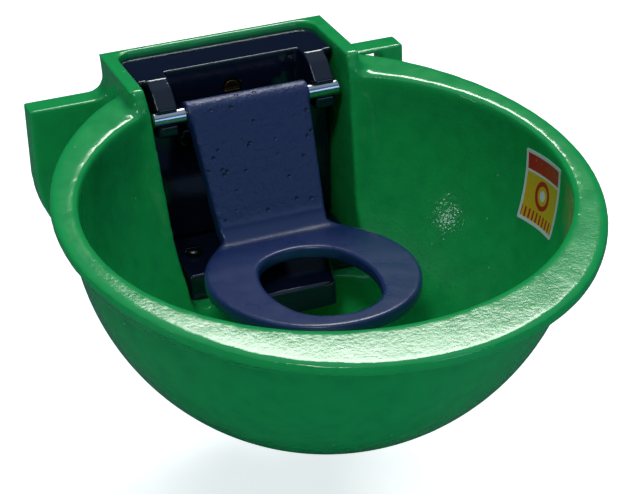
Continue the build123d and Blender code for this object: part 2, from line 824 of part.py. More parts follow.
# ---------------------------------------------------------------- flow screw and its seal
seal_front = regulator_block_front - regulator_thread_length + o_ring_section
with BuildPart() as flow_screw:
    with BuildSketch(regulator_plane.offset(regulator_block_front + seat_gap)):
        Circle(regulator_head_diameter / 2)
    extrude(amount=regulator_head_thickness)
    with BuildSketch(regulator_plane.offset(seal_front)):
        Circle(regulator_thread / 2 - seat_gap)
    extrude(amount=regulator_thread_length - o_ring_section + seat_gap)
    with BuildSketch(regulator_plane.offset(rise_distance + rise_bore / 2)):
        Circle(regulator_needle / 2)
    extrude(amount=regulator_block_front - rise_distance - rise_bore / 2)
    with BuildSketch(regulator_plane.offset(regulator_block_front + regulator_head_thickness + seat_gap)):
        Rectangle(regulator_head_diameter, screw_slot)
    extrude(amount=-regulator_head_thickness / 2, mode=Mode.SUBTRACT)
save(flow_screw.part, "flow_screw")

with BuildPart() as flow_screw_seal:
    with BuildSketch(regulator_plane.offset(regulator_block_front - regulator_thread_length + seat_gap)):
        Circle(regulator_thread / 2 - seat_gap)
        Circle(regulator_needle / 2 + seat_gap, mode=Mode.SUBTRACT)
    extrude(amount=o_ring_section - 2 * seat_gap)
save(flow_screw_seal.part, "flow_screw_seal")

# ---------------------------------------------------------------- inlet washer, locknut and strainer
washer_top = housing_bottom - inlet_boss_height
with BuildPart() as inlet_washer:
    with BuildSketch(inlet_plane.offset(washer_top)):
        Circle(locknut_across_flats / 2)
        Circle(shank_diameter / 2 + hole_clearance, mode=Mode.SUBTRACT)
    extrude(amount=-inlet_washer_thickness)
save(inlet_washer.part, "inlet_washer")

with BuildPart() as inlet_locknut:
    with BuildSketch(inlet_plane.offset(washer_top - inlet_washer_thickness)):
        RegularPolygon(locknut_across_flats / 2, 6, major_radius=False)
        Circle(shank_diameter / 2 + seat_gap, mode=Mode.SUBTRACT)
    extrude(amount=-locknut_thickness)
save(inlet_locknut.part, "inlet_locknut")

with BuildPart() as inlet_strainer:
    with BuildSketch(inlet_plane.offset(inlet_end + pin_chamfer)):
        Circle(inlet_bore / 2 - seat_gap)
        Circle(inlet_bore / 2 - 2 * strainer_wall, mode=Mode.SUBTRACT)
    extrude(amount=2 * strainer_wall)
    with BuildSketch(inlet_plane.offset(inlet_end + pin_chamfer)):
        Circle(inlet_bore / 2 - strainer_wall)
    extrude(amount=strainer_length, taper=strainer_taper)
    with BuildSketch(inlet_plane.offset(inlet_end + pin_chamfer)):
        Circle(inlet_bore / 2 - 2 * strainer_wall)
    extrude(amount=strainer_length - strainer_wall, taper=strainer_taper, mode=Mode.SUBTRACT)
save(inlet_strainer.part, "inlet_strainer")

# ---------------------------------------------------------------- sticker
sticker_plane = Plane(
    origin=(0, -sticker_distance, sticker_centre_height), x_dir=(0, 1, 0), z_dir=(1, 0, 0)
)
with BuildPart() as sticker:
    with Locations((0, bowl_centre_y, bowl_centre_height)):
        add(bowl_form(-bowl_wall - seat_gap))
        add(bowl_form(-bowl_wall - seat_gap - sticker_thickness), mode=Mode.SUBTRACT)
    with BuildSketch(sticker_plane) as sticker_outline:
        Rectangle(sticker_width, sticker_height, rotation=sticker_turn)
        fillet(sticker_outline.vertices(), sticker_corner)
    extrude(amount=bowl_diameter, mode=Mode.INTERSECT)
save(sticker.part, "sticker")
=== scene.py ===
"""Finishes, fittings and stage for a wall-mounted livestock drinking bowl with a paddle valve."""
import math
import bmesh
import bpy
import numpy as np
from bpy.props import FloatProperty, FloatVectorProperty, IntProperty, PointerProperty
from bpy.types import Operator, Panel, PropertyGroup
from mathutils import Euler, Matrix, Vector


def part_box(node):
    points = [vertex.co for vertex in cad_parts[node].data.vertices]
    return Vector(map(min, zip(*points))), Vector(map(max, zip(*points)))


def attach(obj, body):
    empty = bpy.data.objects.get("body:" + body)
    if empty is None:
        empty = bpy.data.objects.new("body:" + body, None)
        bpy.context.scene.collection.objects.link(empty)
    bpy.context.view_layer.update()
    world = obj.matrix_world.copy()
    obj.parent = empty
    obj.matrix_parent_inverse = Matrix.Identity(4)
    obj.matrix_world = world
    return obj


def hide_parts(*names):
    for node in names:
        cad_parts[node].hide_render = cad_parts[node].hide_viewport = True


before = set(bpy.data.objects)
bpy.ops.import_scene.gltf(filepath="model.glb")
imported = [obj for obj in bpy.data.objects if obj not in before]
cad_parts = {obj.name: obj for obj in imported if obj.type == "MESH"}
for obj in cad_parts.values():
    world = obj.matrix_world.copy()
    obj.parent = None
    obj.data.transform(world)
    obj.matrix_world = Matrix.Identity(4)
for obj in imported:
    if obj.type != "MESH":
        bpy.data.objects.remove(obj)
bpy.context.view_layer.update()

bl_info = {
    "name": "Livestock Drinking Bowl",
    "version": (1, 0, 0),
    "blender": (4, 5, 0),
    "location": "3D View > Sidebar > Drinking Bowl",
    "description": "Dresses a cast drinking bowl with enamel, fittings and a studio stage",
    "category": "Object",
}

MM = 0.001

# skins of the castings
MERGE_DISTANCE = 0.002 * MM
BOWL_TRIANGLES = 190000
BOWL_SMOOTHING = 8
PADDLE_SMOOTHING = 6
MOULDING_SMOOTHING = 3
FITTING_SMOOTHING = 2
CORNER_STEPS = 24
CORNER_FADE = 3
HOLLOW_DEPTH = 0.05 * MM
EDGE_HEIGHT = 0.5 * MM
EDGE_FADE = 2

# the paddle's stem is rough above these two heights and its ring is smooth below them
RING_TOP = -11 * MM
STEM_FOOT = -3 * MM

# inlet thread and locknut
THREAD_CREST = 10.4775 * MM
THREAD_FLAT = 0.06
THREAD_FLANK = 0.48
THREAD_SINK = 0.4 * MM
THREAD_CLEARANCE = 0.05 * MM
THREAD_START = 1.6 * MM
THREAD_SPARE = 3.0 * MM
THREAD_STEPS = 40
RELIEF_LENGTH = 0.8 * MM
NUT_VOXEL = 0.5 * MM
NUT_BEVEL = 0.6 * MM
NUT_BEVEL_SLOPE = 0.6

# label
LABEL_HALF_SIZE = 17.5 * MM
LABEL_TURN = math.radians(4.5)

# stage
FLOOR_HALF_SIZE = 6.0
FLOOR_GLOW = 0.70
FLOOR_BOUNCE = (0.62, 0.84, 0.93)
FLOOR_IN_REFLECTIONS = (0.05, 0.07, 0.09)
SKY_SIDES = (0.03, 0.06, 0.11)
SKY_TOP = (0.55, 0.75, 1.0)
CAMERA_PLACE = (-0.31508, -1.00616, 0.47861)
CAMERA_TURN = (1.091697, 0.037021, -0.372305)
CAMERA_SENSOR = 36.0
# name, place, point it faces, size in metres, power in watts, colour
LAMPS = (
    ("back_softbox", (1.05, 1.95, 2.75), (0, -0.2, 0.04), 1.1, 52, (1, 1, 0.96)),
    ("side_softbox", (-1.9, -0.1, 0.75), (0, -0.16, 0.0), 0.16, 1.0, (0.8, 1.0, 1.0)),
    ("front_softbox", (0.9, -2.3, 0.85), (0, -0.1, 0.0), 0.9, 5, (0.40, 0.60, 1.0)),
    ("key_softbox", (-0.9, -1.4, 2.6), (0, -0.16, 0.0), 0.6, 17, (1, 1, 0.95)),
)


# ---------------------------------------------------------------- settings
def colour_property(name, description, default):
    return FloatVectorProperty(
        name=name, description=description, subtype="COLOR", size=3, min=0.0, max=1.0, default=default)


def length_property(name, description, default, top):
    return FloatProperty(
        name=name, description=description, subtype="DISTANCE", unit="LENGTH",
        default=default, min=0.0, max=top)


class CastingSettings(PropertyGroup):
    """Skin and enamel of the two castings."""

    bowl_voxel: length_property("Bowl Voxel", "Cell size of the bowl's skin", 1.15 * MM, 6 * MM)
    paddle_voxel: length_property("Paddle Voxel", "Cell size of the paddle's skin", 0.7 * MM, 6 * MM)
    fillet_spread: IntProperty(
        name="Fillet Spread", description="Rings of points that an inner corner is rounded over",
        default=4, min=0, max=12)
    bowl_colour: colour_property("Bowl Colour", "Green enamel of the bowl", (0.013, 0.430, 0.092))
    # Painted shade: the darker green painted into the bowl's hollows and inner corners
    bowl_painted_shade: colour_property("Bowl Painted Shade", "Green where the enamel has pooled", (0.008, 0.300, 0.072))
    paddle_colour: colour_property("Paddle Colour", "Dark blue enamel of the paddle", (0.012, 0.029, 0.120))
    # Painted shade: the darker blue painted into the pits of the paddle's stem
    paddle_painted_shade: colour_property("Paddle Painted Shade", "Dark blue in the pits of the paddle", (0.006, 0.014, 0.05))
    peel_size: length_property(
        "Peel Size", "Width of one dimple of the orange-peel surface", 1.8 * MM, 20 * MM)
    peel_depth: length_property("Peel Depth", "Depth of the orange-peel dimples", 0.13 * MM, 2 * MM)
    grain_size: length_property(
        "Grain Size", "Width of one bump of the paddle's rough cast stem", 2.6 * MM, 20 * MM)
    grain_depth: length_property("Grain Depth", "Depth of the rough cast stem", 0.55 * MM, 2 * MM)


class FittingSettings(PropertyGroup):
    """Colours and skins of the plastic, metal and rubber fittings."""

    moulding_voxel: length_property("Moulding Voxel", "Cell size of the mouldings' skins", 0.8 * MM, 4 * MM)
    screw_voxel: length_property("Screw Voxel", "Cell size of the screws' skins", 0.3 * MM, 2 * MM)
    plastic_colour: colour_property("Plastic Colour", "Cover and outlet deflector", (0.003, 0.006, 0.018))
    steel_colour: colour_property("Steel Colour", "Hinge pin and spring", (0.62, 0.62, 0.63))
    screw_colour: colour_property("Screw Colour", "Blackened screws", (0.075, 0.078, 0.090))
    brass_colour: colour_property("Brass Colour", "Valve and inlet", (0.63, 0.43, 0.16))
    # Painted shade: the flow screw's brass is darkened to the shade of its recess
    brass_painted_shade_colour: colour_property("Brass Painted Shade Colour", "Flow screw, darkened by water", (0.16, 0.10, 0.035))
    rubber_colour: colour_property("Rubber Colour", "Seals and washers", (0.018, 0.018, 0.019))
    pad_colour: colour_property("Pad Colour", "Domed nose of the plunger", (0.70, 0.69, 0.64))
    thread_pitch: length_property("Thread Pitch", "Pitch of the inlet's thread", 1.814 * MM, 5 * MM)
    thread_root: length_property(
        "Thread Root", "Radius at the root of the inlet's thread", 9.32 * MM, 20 * MM)


class LabelSettings(PropertyGroup):
    """Colours of the label inside the bowl."""

    paper: colour_property("Border", "Border and stripes", (0.86, 0.86, 0.82))
    field: colour_property("Field", "Main field", (0.86, 0.52, 0.02))
    band: colour_property("Band", "Upper band and ring", (0.62, 0.03, 0.02))


class StageSettings(PropertyGroup):
    """Floor, lights and camera."""

    floor_drop: length_property("Floor Drop", "Height of the floor below the fixing holes", 0.15, 1.0)
    floor_colour: colour_property("Floor Colour", "Colour of the floor", (0.93, 0.93, 0.93))
    ambient: FloatProperty(
        name="Ambient", description="Strength of the light from all sides", default=0.6, min=0.0)
    lens: FloatProperty(
        name="Lens", description="Focal length of the camera in millimetres",
        default=121.7, min=20.0, max=300.0)


# ---------------------------------------------------------------- node helpers
def add_node(tree, kind, inputs=(), **settings):
    """A node with its settings, and each input set to a value or linked from a socket."""
    node = tree.nodes.new(kind)
    for name, value in settings.items():
        setattr(node, name, value)
    for key, value in dict(inputs).items():
        if isinstance(value, bpy.types.NodeSocket):
            tree.links.new(value, node.inputs[key])
        else:
            node.inputs[key].default_value = value
    return node


def calculate(tree, operation, a, b=0.0, c=0.0):
    return add_node(tree, "ShaderNodeMath", {0: a, 1: b, 2: c}, operation=operation).outputs[0]


def blend_colours(tree, factor, a, b):
    node = add_node(tree, "ShaderNodeMix", {0: factor}, data_type="RGBA")
    for socket, value in ((node.inputs[6], a), (node.inputs[7], b)):
        if isinstance(value, bpy.types.NodeSocket):
            tree.links.new(value, socket)
        else:
            socket.default_value = (*value, 1)
    return node.outputs[2]


def ramp(tree, value, low, high, start=0.0, end=1.0):
    """A smooth step of a value from low to high."""
    return add_node(tree, "ShaderNodeMapRange", {0: value, 1: low, 2: high, 3: start, 4: end},
                    interpolation_type="SMOOTHSTEP").outputs[0]


def new_material(name):
    """An empty material, its Principled shader and its object coordinates."""
    material = bpy.data.materials.new(name)
    material.use_nodes = True
    tree = material.node_tree
    tree.nodes.clear()
    shader = add_node(tree, "ShaderNodeBsdfPrincipled")
    add_node(tree, "ShaderNodeOutputMaterial", {"Surface": shader.outputs["BSDF"]})
    place = add_node(tree, "ShaderNodeTexCoord").outputs["Object"]
    return material, tree, shader, place


def raise_surface(tree, shader, height, depth):
    """Lifts the surface by a height of 0 to 1 times a depth."""
    bump = add_node(tree, "ShaderNodeBump", {"Height": height, "Strength": 1.0, "Distance": depth})
    tree.links.new(bump.outputs["Normal"], shader.inputs["Normal"])


def new_group(name, size_name, size, outputs):
    """A shader node group with a place, a size and named outputs, and its two end nodes."""
    group = bpy.data.node_groups.new(name, "ShaderNodeTree")
    group.interface.new_socket(name="Place", in_out="INPUT", socket_type="NodeSocketVector")
    socket = group.interface.new_socket(name=size_name, in_out="INPUT", socket_type="NodeSocketFloat")
    socket.default_value = size
    for label in outputs:
        group.interface.new_socket(name=label, in_out="OUTPUT", socket_type="NodeSocketFloat")
    return group, group.nodes.new("NodeGroupInput").outputs, group.nodes.new("NodeGroupOutput").inputs


def noise(tree, place, size, detail=2.0, roughness=0.5):
    scale = calculate(tree, "DIVIDE", 1.0, size)
    return add_node(tree, "ShaderNodeTexNoise", {
        "Vector": place, "Scale": scale, "Detail": detail, "Roughness": roughness}).outputs["Fac"]


def place_group(tree, place, group, size_name=None, size=None):
    """The outputs of a group that is placed in a material."""
    node = add_node(tree, "ShaderNodeGroup", node_tree=group)
    tree.links.new(place, node.inputs["Place"])
    if size_name:
        node.inputs[size_name].default_value = size
    return node.outputs


def peel_group():
    """Dimples of thick enamel, over slow waves of the casting below."""
    name = "Enamel Peel"
    if name in bpy.data.node_groups:
        return bpy.data.node_groups[name]
    group, given, made = new_group(name, "Size", 3 * MM, ("Height", "Waves"))
    dimples = noise(group, given["Place"], given["Size"], 1.0)
    wide = calculate(group, "MULTIPLY", given["Size"], 5.0)
    waves = noise(group, given["Place"], wide, 1.0)
    height = calculate(group, "ADD", dimples, calculate(group, "MULTIPLY", waves, 2.0))
    group.links.new(height, made["Height"])
    group.links.new(waves, made["Waves"])
    return group


def grain_group():
    """Lumps and pits of a rough casting."""
    name = "Cast Grain"
    if name in bpy.data.node_groups:
        return bpy.data.node_groups[name]
    group, given, made = new_group(name, "Size", 2 * MM, ("Height", "Pits"))
    lumps = noise(group, given["Place"], given["Size"], 3.0, 0.6)
    scale = calculate(group, "DIVIDE", 0.55, given["Size"])
    cells = add_node(group, "ShaderNodeTexVoronoi", {"Vector": given["Place"], "Scale": scale})
    chosen = calculate(group, "GREATER_THAN", cells.outputs["Color"], 0.62)
    hollow = ramp(group, cells.outputs["Distance"], 0.10, 0.26, 1.0, 0.0)
    pits_and_painted_shade = calculate(group, "MULTIPLY", chosen, hollow)
    height = calculate(group, "SUBTRACT", lumps, calculate(group, "MULTIPLY", pits_and_painted_shade, 0.9))
    group.links.new(height, made["Height"])
    group.links.new(pits_and_painted_shade, made["Pits"])
    return group


def mark_group():
    """Dust specks and faint hairline scratches."""
    name = "Handling Marks"
    if name in bpy.data.node_groups:
        return bpy.data.node_groups[name]
    group, given, made = new_group(name, "Spacing", 9 * MM, ("Specks", "Scratches"))
    scale = calculate(group, "DIVIDE", 1.0, given["Spacing"])
    cells = add_node(group, "ShaderNodeTexVoronoi", {"Vector": given["Place"], "Scale": scale})
    chosen = calculate(group, "GREATER_THAN", cells.outputs["Color"], 0.68)
    dots = ramp(group, cells.outputs["Distance"], 0.03, 0.07, 1.0, 0.0)
    specks = calculate(group, "MULTIPLY", chosen, dots)
    stretch = add_node(group, "ShaderNodeMapping", {
        0: given["Place"], 2: (0.5, 0.3, 1.1), 3: (1.0, 26.0, 26.0)})
    length = calculate(group, "MULTIPLY", given["Spacing"], 4.0)
    lines = noise(group, stretch.outputs[0], length, 2.0, 0.7)
    group.links.new(specks, made["Specks"])
    group.links.new(ramp(group, lines, 0.70, 0.74), made["Scratches"])
    return group


# ---------------------------------------------------------------- materials
def enamel_material(name, colour, shade, peel_size, peel_depth):
    """Thick glossy enamel over a casting, with painted shade darkening its hollows and inner corners and
    painted light brightening its outer edges.
    """
    material, tree, shader, place = new_material(name)
    peel = place_group(tree, place, peel_group(), "Size", peel_size)
    marks = place_group(tree, place, mark_group())
    # painted shade in hollows and painted light on outer edges, read from the stored bend, plus random tone
    # from the waves
    painted_light_bend = add_node(tree, "ShaderNodeAttribute", attribute_name="painted_light_bend").outputs["Fac"]
    painted_light_and_tone = calculate(tree, "ADD", painted_light_bend, calculate(tree, "MULTIPLY", peel["Waves"], 0.5))
    base = blend_colours(tree, ramp(tree, painted_light_and_tone, 0.35, 0.95), shade, colour)
    specks = calculate(tree, "MULTIPLY", marks["Specks"], 0.55)
    specked = blend_colours(tree, specks, base, (0.55, 0.62, 0.55))
    tree.links.new(specked, shader.inputs["Base Color"])
    rough = calculate(tree, "MULTIPLY_ADD", peel["Waves"], 0.08, 0.10)
    rough = calculate(tree, "ADD", rough, calculate(tree, "MULTIPLY", marks["Scratches"], 0.10))
    tree.links.new(rough, shader.inputs["Roughness"])
    shader.inputs["IOR"].default_value = 1.52
    facing = add_node(tree, "ShaderNodeSeparateXYZ", {"Vector": place.node.outputs["Normal"]})
    level = ramp(tree, facing.outputs["Z"], 0.55, 0.85, 1.0, 0.28)
    raise_surface(tree, shader, calculate(tree, "MULTIPLY", peel["Height"], level), peel_depth)
    return material


def rough_enamel_material(name, colour, shade, settings):
    """Dark enamel, rough and pitted on the paddle's stem and smooth on its ring, with painted shade darkening
    the stem's pits.
    """
    material, tree, shader, place = new_material(name)
    height = add_node(tree, "ShaderNodeSeparateXYZ", {0: place}).outputs["Z"]
    stem = ramp(tree, height, RING_TOP, STEM_FOOT)
    grain = place_group(tree, place, grain_group(), "Size", settings.grain_size)
    peel = place_group(tree, place, peel_group(), "Size", settings.peel_size)
    # painted shade: the stem's pits are darkened toward the shade colour
    pits_and_painted_shade = calculate(tree, "MULTIPLY", grain["Pits"], stem)
    base = blend_colours(tree, pits_and_painted_shade, colour, shade)
    tree.links.new(base, shader.inputs["Base Color"])
    rough = calculate(tree, "MULTIPLY_ADD", stem, 0.10, 0.24)
    rough = calculate(tree, "ADD", rough, calculate(tree, "MULTIPLY", peel["Waves"], 0.10))
    tree.links.new(rough, shader.inputs["Roughness"])
    rough_part = calculate(tree, "MULTIPLY", grain["Height"], stem)
    smooth_part = calculate(tree, "MULTIPLY", peel["Height"], 0.08)
    raise_surface(tree, shader, calculate(tree, "ADD", rough_part, smooth_part), settings.grain_depth)
    return material


def moulded_material(name, colour, low, high, depth, size=0.8 * MM):
    """Plastic or rubber with a fine grain and a sheen that varies a little."""
    material, tree, shader, place = new_material(name)
    marks = place_group(tree, place, mark_group())
    clouds = noise(tree, place, 22 * MM, 3.0)
    lighter = tuple(min(1.0, value * 1.7 + 0.004) for value in colour)
    base = blend_colours(tree, calculate(tree, "MULTIPLY", clouds, 0.5), colour, lighter)
    specks = calculate(tree, "MULTIPLY", marks["Specks"], 0.35)
    dusty = blend_colours(tree, specks, base, (0.35, 0.36, 0.38))
    tree.links.new(dusty, shader.inputs["Base Color"])
    rough = calculate(tree, "MULTIPLY_ADD", clouds, high - low, low)
    rough = calculate(tree, "ADD", rough, calculate(tree, "MULTIPLY", marks["Scratches"], 0.12))
    tree.links.new(rough, shader.inputs["Roughness"])
    raise_surface(tree, shader, noise(tree, place, size, 2.0), depth)
    return material


def metal_material(name, colour, low, high, stretch, depth):
    """Turned or drawn metal: fine lines along one direction, and a slightly uneven polish."""
    material, tree, shader, place = new_material(name)
    lay = add_node(tree, "ShaderNodeMapping", {0: place, 3: stretch}).outputs[0]
    lines = noise(tree, lay, 0.9 * MM, 3.0, 0.6)
    clouds = noise(tree, place, 9 * MM, 2.0)
    darker = tuple(value * 0.72 for value in colour)
    tree.links.new(blend_colours(tree, clouds, darker, colour), shader.inputs["Base Color"])
    fine = calculate(tree, "MULTIPLY", lines, 0.5)
    mixed = calculate(tree, "ADD", fine, calculate(tree, "MULTIPLY", clouds, 0.5))
    tree.links.new(calculate(tree, "MULTIPLY_ADD", mixed, high - low, low), shader.inputs["Roughness"])
    shader.inputs["Metallic"].default_value = 1.0
    raise_surface(tree, shader, lines, depth)
    return material


def label_material(name, colours, centre, half_size, turn):
    """A printed label: a border, a band above a field, a ring, and ribs along the foot.

    Places on it run from -1 to 1 across and up.
    """
    material, tree, shader, place = new_material(name)
    turned = add_node(tree, "ShaderNodeMapping", {
        0: place, 1: tuple(-value for value in centre)}, vector_type="POINT").outputs[0]
    turned = add_node(tree, "ShaderNodeMapping", {
        0: turned, 2: (turn, 0.0, 0.0), 3: (1.0, 1.0 / half_size, 1.0 / half_size)}).outputs[0]
    axes = add_node(tree, "ShaderNodeSeparateXYZ", {0: turned}).outputs
    across, up = axes["Y"], axes["Z"]
    border_start, band_foot, line_height, line_half = 0.90, 0.44, 0.40, 0.035
    rib_top, rib_count, rib_half = -0.62, 5.0, 0.22
    ring_drop, ring_radius, ring_half, dot_radius = 0.12, 0.34, 0.07, 0.15
    sideways, upright = calculate(tree, "ABSOLUTE", across), calculate(tree, "ABSOLUTE", up)
    border = calculate(tree, "GREATER_THAN", calculate(tree, "MAXIMUM", sideways, upright), border_start)
    band = calculate(tree, "GREATER_THAN", up, band_foot)
    line = calculate(tree, "COMPARE", up, line_height, line_half)
    low = calculate(tree, "LESS_THAN", up, rib_top)
    phase = calculate(tree, "FRACT", calculate(tree, "MULTIPLY", across, rib_count))
    ribs = calculate(tree, "COMPARE", phase, 0.5, rib_half)
    rise = calculate(tree, "ADD", up, ring_drop)
    squares = calculate(
        tree, "ADD", calculate(tree, "POWER", across, 2.0), calculate(tree, "POWER", rise, 2.0))
    distance = calculate(tree, "SQRT", squares)
    ring = calculate(tree, "COMPARE", distance, ring_radius, ring_half)
    dot = calculate(tree, "LESS_THAN", distance, dot_radius)
    base = blend_colours(tree, band, colours.field, colours.band)
    base = blend_colours(tree, line, base, colours.paper)
    base = blend_colours(tree, ring, base, colours.band)
    base = blend_colours(tree, dot, base, colours.paper)
    base = blend_colours(tree, calculate(tree, "MULTIPLY", low, ribs), base, colours.band)
    base = blend_colours(tree, border, base, colours.paper)
    scuffs = ramp(tree, noise(tree, place, 5 * MM, 4.0, 0.7), 0.62, 0.75, 0.0, 0.35)
    tree.links.new(blend_colours(tree, scuffs, base, (0.60, 0.58, 0.52)), shader.inputs["Base Color"])
    tree.links.new(ramp(tree, scuffs, 0.0, 0.35, 0.25, 0.5), shader.inputs["Roughness"])
    raise_surface(tree, shader, noise(tree, place, 2.5 * MM, 1.0), 0.06 * MM)
    return material


# ---------------------------------------------------------------- mesh helpers
def add_piece(context, name, data, material, body, slot, *nodes):
    """A finished piece that rides on a body and stands for CAD nodes."""
    piece = bpy.data.objects.new(name, data)
    context.scene.collection.objects.link(piece)
    data.materials.clear()
    data.materials.append(material)
    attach(piece, body)
    if nodes:
        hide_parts(*nodes)
    return piece


def merged_copy(node):
    """A copy of a CAD node's mesh with its loose triangles joined."""
    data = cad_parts[node].data.copy()
    if "custom_normal" in data.attributes:
        data.attributes.remove(data.attributes["custom_normal"])
    mesh = bmesh.new()
    mesh.from_mesh(data)
    bmesh.ops.remove_doubles(mesh, verts=mesh.verts, dist=MERGE_DISTANCE)
    mesh.to_mesh(data)
    mesh.free()
    return data


def baked(context, holder):
    """The mesh that an object's modifiers make."""
    context.view_layer.update()
    data = bpy.data.meshes.new_from_object(holder.evaluated_get(context.evaluated_depsgraph_get()))
    holder.modifiers.clear()
    return data


def thinned(context, data, limit):
    """A mesh with its flattest cells joined until it has no more triangles than the limit."""
    holder = bpy.data.objects.new("holder", data)
    context.scene.collection.objects.link(holder)
    triangles = sum(len(polygon.vertices) - 2 for polygon in data.polygons)
    decimate = holder.modifiers.new("thinning", "DECIMATE")
    decimate.ratio = min(1.0, limit / triangles)
    data = baked(context, holder)
    bpy.data.objects.remove(holder)
    return data


def skin(context, node, voxel, steps):
    """A skin of even cells over a CAD node, with its edges rounded."""
    holder = bpy.data.objects.new("holder", merged_copy(node))
    context.scene.collection.objects.link(holder)
    remesh = holder.modifiers.new("skin", "REMESH")
    remesh.mode = "VOXEL"
    remesh.voxel_size = voxel
    remesh.use_smooth_shade = True
    rounding = holder.modifiers.new("rounding", "SMOOTH")
    rounding.factor = 0.5
    rounding.iterations = steps
    data = baked(context, holder)
    bpy.data.objects.remove(holder)
    if not data.polygons:
        raise RuntimeError(f"the skin of {node} is empty")
    return data


def bend_of_surface(data):
    """How far each point stands out of its neighbours, positive on outer edges, and the edges' ends."""
    count = len(data.vertices)
    points = np.empty(count * 3)
    data.vertices.foreach_get("co", points)
    points = points.reshape(-1, 3)
    normals = np.empty(count * 3)
    data.vertices.foreach_get("normal", normals)
    normals = normals.reshape(-1, 3)
    ends = np.empty(len(data.edges) * 2, dtype=np.int64)
    data.edges.foreach_get("vertices", ends)
    ends = ends.reshape(-1, 2)
    total = np.zeros((count, 3))
    number = np.zeros(count)
    for a, b in ((0, 1), (1, 0)):
        np.add.at(total, ends[:, a], points[ends[:, b]])
        np.add.at(number, ends[:, a], 1)
    return np.einsum("ij,ij->i", points - total / number[:, None], normals), points, ends, number


def spread(values, ends, number, rings):
    """Values averaged with their neighbours, ring by ring."""
    for _ in range(rings):
        total = values.copy()
        for a, b in ((0, 1), (1, 0)):
            np.add.at(total, ends[:, a], values[ends[:, b]])
        values = total / (number + 1)
    return values


def fill_inner_corners(data, rings, steps):
    """Rounds the inner corners of a casting, where the metal flows together."""
    bend, points, ends, number = bend_of_surface(data)
    hollow = (bend < -HOLLOW_DEPTH).astype(float)
    for _ in range(rings):
        wider = hollow.copy()
        for a, b in ((0, 1), (1, 0)):
            np.maximum.at(wider, ends[:, a], hollow[ends[:, b]])
        hollow = wider
    weight = spread(hollow, ends, number, CORNER_FADE)[:, None]
    for _ in range(steps):
        total = np.zeros_like(points)
        for a, b in ((0, 1), (1, 0)):
            np.add.at(total, ends[:, a], points[ends[:, b]])
        points += 0.5 * weight * (total / number[:, None] - points)
    data.vertices.foreach_set("co", points.ravel())
    data.update()


def mark_edges(data):
    """Stores how sharp the surface bends, 0.5 on flat ground and more on outer edges; the enamel paints its
    shade and light from it.
    """
    bend, _, ends, number = bend_of_surface(data)
    values = np.clip(0.5 + spread(bend, ends, number, EDGE_FADE) / EDGE_HEIGHT, 0.0, 1.0)
    data.attributes.new("painted_light_bend", "FLOAT", "POINT").data.foreach_set("value", values.astype(np.float32))


def dress(node, material):
    """Gives a CAD node its finish."""
    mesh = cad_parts[node].data
    mesh.materials.clear()
    mesh.materials.append(material)


def find_material(name):
    """One of the finishes, once they are made."""
    if name not in bpy.data.materials:
        raise RuntimeError(f"there is no material named {name}: run Finishes first")
    return bpy.data.materials[name]


# ---------------------------------------------------------------- operators
class BOWL_OT_finishes(Operator):
    """Make every finish, and give it to the nodes that keep their shape"""

    bl_idname = "drinking_bowl.finishes"
    bl_label = "Finishes"

    def execute(self, context):
        casting = context.scene.bowl_casting
        fitting = context.scene.bowl_fitting
        enamel_material("cast_green_enamel", casting.bowl_colour, casting.bowl_painted_shade,
                        casting.peel_size, casting.peel_depth)
        rough_enamel_material("cast_dark_enamel", casting.paddle_colour, casting.paddle_painted_shade, casting)
        moulded_material("moulded_plastic", fitting.plastic_colour, 0.04, 0.10, 0.03 * MM)
        rubber = moulded_material("soft_rubber", fitting.rubber_colour, 0.55, 0.75, 0.08 * MM)
        pad = moulded_material("nylon_pad", fitting.pad_colour, 0.35, 0.5, 0.02 * MM)
        drawn, even = (0.04, 1.0, 1.0), (1.0, 1.0, 1.0)
        steel = metal_material("polished_steel", fitting.steel_colour, 0.08, 0.24, drawn, 0.02 * MM)
        metal_material("blackened_steel", fitting.screw_colour, 0.25, 0.40, even, 0.02 * MM)
        brass = metal_material("turned_brass", fitting.brass_colour, 0.20, 0.40, even, 0.05 * MM)
        # painted shade: a darkened brass for the flow screw, standing for the shade in its recess
        metal_material("painted_shade_brass", fitting.brass_painted_shade_colour, 0.25, 0.45, even, 0.05 * MM)
        wire = metal_material("spring_wire", fitting.steel_colour, 0.20, 0.35, even, 0.02 * MM)
        low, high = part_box("sticker")
        centre = (low + high) / 2
        label = label_material(
            "printed_label", context.scene.bowl_label, centre, LABEL_HALF_SIZE, LABEL_TURN)
        for material, nodes in (
            (steel, ("hinge_pin", "inlet_strainer")),
            (wire, ("return_spring",)),
            (brass, ("valve_seat", "valve_plunger", "valve_bonnet")),
            (rubber, ("valve_gasket", "valve_washer", "flow_screw_seal", "inlet_washer")),
            (pad, ("plunger_cap",)),
            (label, ("sticker",)),
        ):
            for node in nodes:
                dress(node, material)
        return {"FINISHED"}


class BOWL_OT_casting(Operator):
    """Pour the bowl with its rounded edges and filled inner corners"""

    bl_idname = "drinking_bowl.casting"
    bl_label = "Bowl Casting"

    def execute(self, context):
        casting = context.scene.bowl_casting
        data = skin(context, "bowl", casting.bowl_voxel, BOWL_SMOOTHING)
        fill_inner_corners(data, casting.fillet_spread, CORNER_STEPS)
        data = thinned(context, data, BOWL_TRIANGLES)
        mark_edges(data)
        enamel = find_material("cast_green_enamel")
        add_piece(context, "bowl_casting", data, enamel, "casting", "green_enamel", "bowl")
        return {"FINISHED"}


class BOWL_OT_paddle(Operator):
    """Cast the paddle that the animal pushes"""

    bl_idname = "drinking_bowl.paddle"
    bl_label = "Paddle"

    def execute(self, context):
        data = skin(context, "paddle", context.scene.bowl_casting.paddle_voxel, PADDLE_SMOOTHING)
        enamel = find_material("cast_dark_enamel")
        add_piece(context, "paddle_casting", data, enamel, "paddle", "dark_enamel", "paddle")
        return {"FINISHED"}


